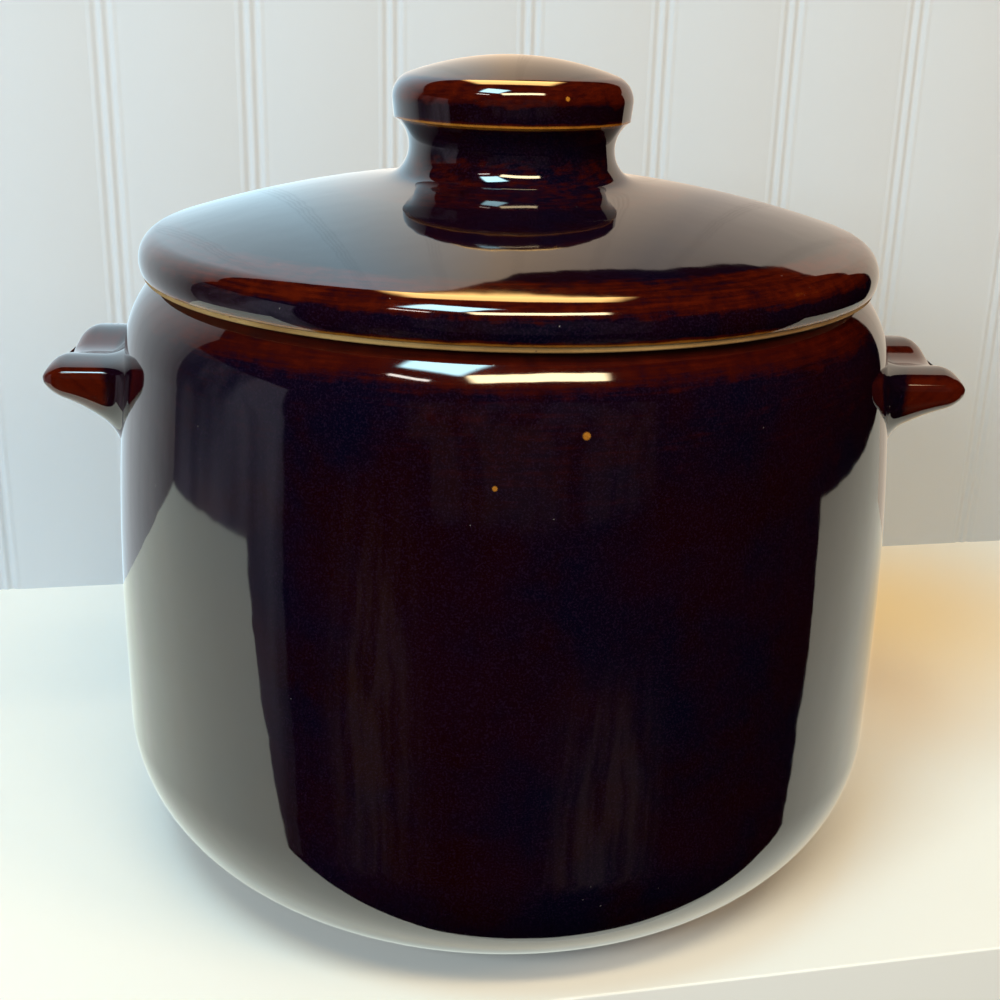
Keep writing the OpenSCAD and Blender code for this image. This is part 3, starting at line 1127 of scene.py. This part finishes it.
@dataclass(frozen=True)
class TablePaint:
    """Plain matt white paint with a painted pool of warm light in one place, and a brighter mirrored image in
    the glaze.
    """

    name: str = "table_paint"
    colour: Colour = (0.78, 0.79, 0.77)
    left_glow: Colour = (0.34, 0.38, 0.30)
    middle_glow: Colour = (0.60, 0.66, 0.58)
    right_glow: Colour = (0.16, 0.14, 0.10)
    reach: float = 150.0
    painted_warm_light_colour: Colour = (0.80, 0.58, 0.31)
    painted_warm_light_spot: Place = (132.0, 122.0, 0.0)
    painted_warm_light_reach: float = 120.0

    def material(self) -> bpy.types.Material:
        """Builds the material."""
        material, graph = new_material(self.name)
        place = graph.add("TexCoord").outputs["Object"]
        # Painted light: a warm pool of light is painted into the paint's colour round one spot, fading out
        # over its reach.
        away = graph.compare("DISTANCE", place, tuple(side * MM for side in self.painted_warm_light_spot))
        near = graph.remap(away, 0.0, self.painted_warm_light_reach * MM, 1.0, 0.0)
        paint = graph.matt(graph.mix(near, self.colour, self.painted_warm_light_colour))
        # Painted reflection: in the gloss a glow is added to the paint, changing from left to right, so its
        # mirrored image is brighter than the lit paint.
        across = graph.axes(place)[0]
        tone = graph.mix(graph.remap(across, -self.reach * MM, 0.0), self.left_glow, self.middle_glow)
        tone = graph.mix(graph.remap(across, 0.0, self.reach * MM), tone, self.right_glow)
        added = graph.add("AddShader")
        graph.put(added.inputs[0], paint)
        graph.put(added.inputs[1], graph.glow(tone))
        mirrored = graph.add("LightPath").outputs["Is Glossy Ray"]
        graph.surface(graph.blend(mirrored, paint, added.outputs[0]))
        return material


@dataclass(frozen=True)
class BoardPaint:
    """Plain matt white paint for the boards, with painted shade near the table and a painted reflection glow
    in the gloss, seen from the front only.
    """

    name: str = "board_paint"
    colour: Colour = (0.56, 0.60, 0.66)
    painted_shade_colour: Colour = (0.48, 0.52, 0.58)
    painted_shade_reach: float = 190.0
    span: Range = (-460.0, 320.0)
    mirror_strength: float = 1.6
    groove_shade_slope: Range = (0.70, 0.99)
    groove_painted_shade: float = 0.35
    # Colours of a painted reflection: the glow that the gloss sees instead of the lit paint, listed along the
    # boards' width.
    mirrored: tuple[tuple[float, Colour], ...] = (
        (-450.0, (0.18, 0.17, 0.17)),
        (-200.0, (0.52, 0.57, 0.60)),
        (-82.0, (0.62, 0.86, 1.00)),
        (0.0, (0.88, 0.66, 0.46)),
        (84.0, (0.42, 0.36, 0.31)),
        (200.0, (0.50, 0.42, 0.33)),
    )

    def material(self, facing: Vector) -> bpy.types.Material:
        """Builds the material.

        Args:
            facing: Direction that the boards face.

        Returns:
            The material.
        """
        material, graph = new_material(self.name)
        across, _, height = graph.axes(graph.add("TexCoord").outputs["Object"])
        # Painted shade: the paint is darker towards the table, standing in for the shade near the wall's
        # foot.
        low = graph.remap(height, 0.0, self.painted_shade_reach * MM)
        paint = graph.matt(graph.mix(low, self.painted_shade_colour, self.colour))
        start, end = self.span
        length = end - start
        tone = graph.add("ValToRGB")
        graph.put(tone.inputs[0], graph.maths("MULTIPLY_ADD", across, 1 / (length * MM), -start / length))
        stops = tone.color_ramp.elements
        while len(stops) < len(self.mirrored):
            stops.new(1.0)
        for stop, (place, colour) in zip(stops, self.mirrored):
            stop.position = (place - start) / length
            stop.color = (*colour, 1.0)
        # Painted shade: the glow that the gloss sees is darkened where the boards' faces turn away at the
        # beads' grooves.
        geometry = graph.add("NewGeometry")
        slope = graph.compare("DOT_PRODUCT", geometry.outputs["Normal"], tuple(facing))
        shade = graph.remap(slope, *self.groove_shade_slope, self.groove_painted_shade, 1.0)
        light = graph.glow(graph.mix(shade, (0.0, 0.0, 0.0), tone.outputs[0]), self.mirror_strength)
        front = graph.blend(graph.add("LightPath").outputs["Is Glossy Ray"], paint, light)
        clear = graph.add("BsdfTransparent").outputs[0]
        graph.surface(graph.blend(geometry.outputs["Backfacing"], front, clear))
        return material


@dataclass(frozen=True)
class Card:
    """A flat glowing card that only the gloss shows, in millimetres, brightest away from its edges."""

    name: str
    centre: Place
    aim: Place
    size: tuple[float, float]
    colour: Colour
    strength: float
    soft: float = 0.15
    folds: float = 0.0
    fold_stretch: Place = (1.0, 0.3, 1.0)
    fold_grain: Range = (3.0, 0.6)
    fold_edge: Range = (0.36, 0.66)
    fold_light: Range = (0.15, 1.6)

    def build(self) -> bpy.types.Object:
        """Makes the card, turned towards its aim."""
        form = bmesh.new()
        wide, high = self.size[0] / 2, self.size[1] / 2
        corners = [(-wide, -high, 0), (wide, -high, 0), (wide, high, 0), (-wide, high, 0)]
        form.faces.new([form.verts.new(Vector(c) * MM) for c in corners])
        card = add_form(self.name, form)
        face_towards(card, self.centre, self.aim, "Z")
        card.data.materials.append(self.material(wide * MM, high * MM))
        card.visible_camera = card.visible_diffuse = card.visible_shadow = False
        card.visible_transmission = card.visible_volume_scatter = False
        return card

    def material(self, wide: float, high: float) -> bpy.types.Material:
        """A glow that fades towards the edges, and is broken up into folds where the card has them.

        Args:
            wide: Half the card's width, in metres.
            high: Half its height, in metres.

        Returns:
            The material.
        """
        material, graph = new_material(self.name)
        place = graph.add("TexCoord").outputs["Object"]
        fade: Value = 1.0
        for across, half in zip(graph.axes(place), (wide, high)):
            edge = graph.remap(graph.maths("ABSOLUTE", across), half * (1 - self.soft), half, 1.0, 0.0)
            fade = graph.maths("MULTIPLY", fade, edge)
        if self.folds:
            drawn = graph.vector("MULTIPLY", place, self.fold_stretch)
            uneven = graph.noise(drawn, 1.0 / (self.folds * MM), *self.fold_grain)
            fade = graph.maths("MULTIPLY", fade, graph.remap(uneven, *self.fold_edge, *self.fold_light))
        graph.surface(graph.glow(graph.mix(fade, (0.0, 0.0, 0.0), self.colour), self.strength))
        return material


@dataclass(frozen=True)
class Lamp:
    """A soft area lamp that lights the pot without showing in its gloss, in millimetres."""

    name: str
    centre: Place
    aim: Place
    size: tuple[float, float]
    power: float
    colour: Colour

    def build(self) -> bpy.types.Object:
        """Makes the lamp, turned towards its aim."""
        data = bpy.data.lights.new(self.name, "AREA")
        data.shape = "RECTANGLE"
        data.size, data.size_y = (side * MM for side in self.size)
        data.energy = self.power
        data.color = self.colour
        lamp = add_object(self.name, data)
        face_towards(lamp, self.centre, self.aim, "-Z")
        lamp.visible_glossy = False
        return lamp


@dataclass
class Studio:
    """The pale tabletop, the pale boarded backdrop, the lamps and what the gloss shows."""

    table_turn: float = 10.0
    table_front: float = -83.8
    table_depth: float = 900.0
    slab: float = 40.0
    left: float = -455.0
    right: float = 505.0
    board_right: float = 310.0
    board_turn: float = 9.1
    board_back: float = 153.4
    board_pitch: float = 45.3
    first_board: float = -9.9
    bead: float = 5.5
    bead_lines: int = 3
    bead_steps: int = 12
    groove: float = 0.7
    seen_colour: Colour = (0.68, 0.68, 0.66)
    fill_colour: Colour = (0.88, 0.94, 1.0)
    fill_strength: float = 0.20
    edge_round: float = 0.4
    top_edge: tuple[Point, ...] = (
        (-460.0, 392.0), (-62.0, 385.0), (11.0, 385.0), (37.0, 360.0), (74.0, 352.0), (120.0, 333.0),
        (150.0, 307.0), (176.0, 275.0), (320.0, 268.0),
    )

    def tabletop(self) -> bpy.types.Object:
        """A pale slab with a softly rounded front edge."""
        form = bmesh.new()
        bmesh.ops.create_cube(form, size=1.0)
        size = Matrix.Diagonal((self.right - self.left, self.table_depth, self.slab, 1))
        middle = ((self.left + self.right) / 2, self.table_front + self.table_depth / 2, -self.slab / 2)
        form.transform(Matrix.Translation(middle) @ size)
        bmesh.ops.bevel(
            form, geom=form.edges, offset=self.edge_round, segments=2, affect="EDGES", profile=0.5
        )
        form.transform(Matrix.Scale(MM, 4) @ Matrix.Rotation(math.radians(self.table_turn), 4, "Z"))
        table = add_form("tabletop", form)
        table.data.materials.append(TablePaint().material())
        return table

    def backdrop(self) -> bpy.types.Object:
        """A pale panel of upright boards with a bead at each joint, seen only from its front."""
        section = [(self.left, 0.0)]
        count = math.floor((self.left - self.first_board) / self.board_pitch)
        place = self.first_board + count * self.board_pitch
        while place + self.bead < self.board_right:
            if place - self.bead > self.left:
                for step in range(-self.bead_steps, self.bead_steps + 1):
                    part = step / self.bead_steps
                    wave = math.cos(math.pi * part * self.bead_lines) * 0.5 - 0.5
                    section.append((place + part * self.bead, -self.groove * wave * (1 - part * part)))
            place += self.board_pitch
        section.append((self.board_right, 0.0))
        form = bmesh.new()
        low = [form.verts.new((x, self.board_back + y, 0.0)) for x, y in section]
        high = [form.verts.new((x, self.board_back + y, self._top(x))) for x, y in section]
        for k in range(len(section) - 1):
            form.faces.new((low[k], low[k + 1], high[k + 1], high[k])).smooth = True
        turn = math.radians(self.board_turn)
        form.transform(Matrix.Scale(MM, 4) @ Matrix.Rotation(turn, 4, "Z"))
        panel = add_form("backdrop", form)
        panel.data.materials.append(BoardPaint().material(Vector((math.sin(turn), -math.cos(turn), 0.0))))
        return panel

    def _top(self, place: float) -> float:
        """Height of the panel's upper edge, which falls away to the right."""
        for (left, high), (right, low) in zip(self.top_edge, self.top_edge[1:]):
            if place <= right:
                return high + (low - high) * (place - left) / (right - left)
        return self.top_edge[-1][1]

    def cards(self) -> None:
        """The strips of light and the dim room that the glaze mirrors."""
        rim = (0.0, -83.0, 148.0)
        warm, cool, gold = (1.0, 0.80, 0.48), (0.52, 0.88, 1.0), (1.0, 0.60, 0.20)
        white, dusk, rose, brown = (1.0, 0.92, 0.85), (0.90, 0.84, 1.0), (1.0, 0.72, 0.74), (1.0, 0.66, 0.52)
        above, below = (10.0, 260.0, 700.0), (10.0, 260.0, 0.0)
        for card in (
            Card("warm_strip", (135.0, -709.0, 1166.0), rim, (770.0, 185.0), warm, 24.0),
            Card("cool_window", (-285.0, -465.0, 1244.0), rim, (390.0, 430.0), cool, 20.0, soft=0.3),
            Card("small_strip", (-500.0, -680.0, 1050.0), rim, (240.0, 40.0), white, 16.0),
            Card("golden_glow", above, below, (360.0, 390.0), gold, 13.0, soft=0.3),
            Card("dim_side", (-1000.0, -85.0, -60.0), rim, (900.0, 1250.0), dusk, 0.30, 0.04, 600.0),
            Card("dim_room", (150.0, -1500.0, 420.0), rim, (2200.0, 1300.0), rose, 0.05, folds=240.0),
            Card("dim_corner", (-640.0, -900.0, -400.0), rim, (700.0, 1000.0), brown, 0.10, 1.0, 70.0),
            Card("dim_floor", (540.0, -1000.0, -640.0), rim, (900.0, 760.0), brown, 0.10, 1.0, 70.0),
        ):
            card.build()

    def lamps(self) -> None:
        """Warm and cool lamps above the front, a low one at the left and a warm one at the right."""
        pot, right = (0.0, 0.0, 60.0), (150.0, 155.0, 100.0)
        warm, cool, white, amber = (1.0, 0.78, 0.47), (0.36, 0.78, 1.0), (0.80, 0.91, 0.93), (1.0, 0.65, 0.32)
        for lamp in (
            Lamp("warm_lamp", (135.0, -709.0, 1166.0), pot, (770.0, 140.0), 9.8, warm),
            Lamp("cool_lamp", (-285.0, -465.0, 1244.0), pot, (370.0, 300.0), 5.0, cool),
            Lamp("front_lamp", (-620.0, -920.0, 620.0), pot, (480.0, 360.0), 11.6, white),
            Lamp("right_lamp", (700.0, -500.0, 700.0), right, (300.0, 300.0), 3.5, amber),
        ):
            lamp.build()

    def world(self) -> None:
        """A pale world for the camera, a soft fill for paint, and darkness in the gloss."""
        world = bpy.data.worlds.new("studio_world")
        bpy.context.scene.world = world
        world.use_nodes = True
        graph = Graph(world.node_tree)
        seen = graph.add("Background")
        graph.put(seen.inputs["Color"], self.seen_colour)
        fill = graph.add("Background")
        graph.put(fill.inputs["Color"], self.fill_colour)
        graph.put(fill.inputs["Strength"], self.fill_strength)
        camera = graph.add("LightPath").outputs["Is Camera Ray"]
        graph.surface(graph.blend(camera, fill.outputs[0], seen.outputs[0]), "OutputWorld")
        world.cycles_visibility.glossy = False

    def build(self) -> None:
        """Sets the whole stage."""
        self.tabletop()
        self.backdrop()
        self.cards()
        self.lamps()
        self.world()


@dataclass(frozen=True)
class PhotoCamera:
    """The camera at the photograph's viewing angle. Angles are degrees, lengths millimetres."""

    distance: float = 326.2
    height: float = 201.5
    heading: float = -0.102
    pitch: float = 20.0
    roll: float = 1.45
    round_pot: float = -2.0
    sensor: float = 36.0
    lens: float = 50.4
    clip: Range = (0.01, 20.0)

    def build(self) -> bpy.types.Object:
        """Makes the camera and sets it as the scene's."""
        heading, pitch, roll = (math.radians(a) for a in (self.heading, self.pitch, self.roll))
        across, along = math.sin(heading) * math.cos(pitch), math.cos(heading) * math.cos(pitch)
        ahead = Vector((across, along, -math.sin(pitch)))
        level = Vector((math.cos(heading), -math.sin(heading), 0.0))
        upright = level.cross(ahead)
        right = level * math.cos(roll) + upright * math.sin(roll)
        up = upright * math.cos(roll) - level * math.sin(roll)
        turn = Matrix.Rotation(math.radians(self.round_pot), 3, "Z")
        axes = turn @ Matrix((right, up, -ahead)).transposed()
        place = turn @ Vector((0.0, -self.distance, self.height)) * MM
        data = bpy.data.cameras.new("photo_camera")
        data.sensor_width = self.sensor
        data.lens = self.lens
        data.clip_start, data.clip_end = self.clip
        camera = add_object("photo_camera", data)
        camera.matrix_world = Matrix.Translation(place) @ axes.to_4x4()
        bpy.context.scene.camera = camera
        return camera


def main() -> None:
    """Builds the pot's pieces, then the stage, the lights and the camera."""
    logging.basicConfig(level=logging.INFO, format="%(name)s: %(message)s")
    bpy.context.scene.view_settings.view_transform = "Standard"
    effects = Effects()
    crock = Crock()
    lid = Lid(crock)
    right_lug = ThumbLug(crock, "handle_right")
    left_lug = ThumbLug(crock, "handle_left", side=-1, drop=22.9, sweep=11.4)
    pieces = [part.build(effects) for part in (crock, right_lug, left_lug, lid, Knob(lid))]
    Studio().build()
    PhotoCamera().build()


if __name__ == "__main__":
    main()
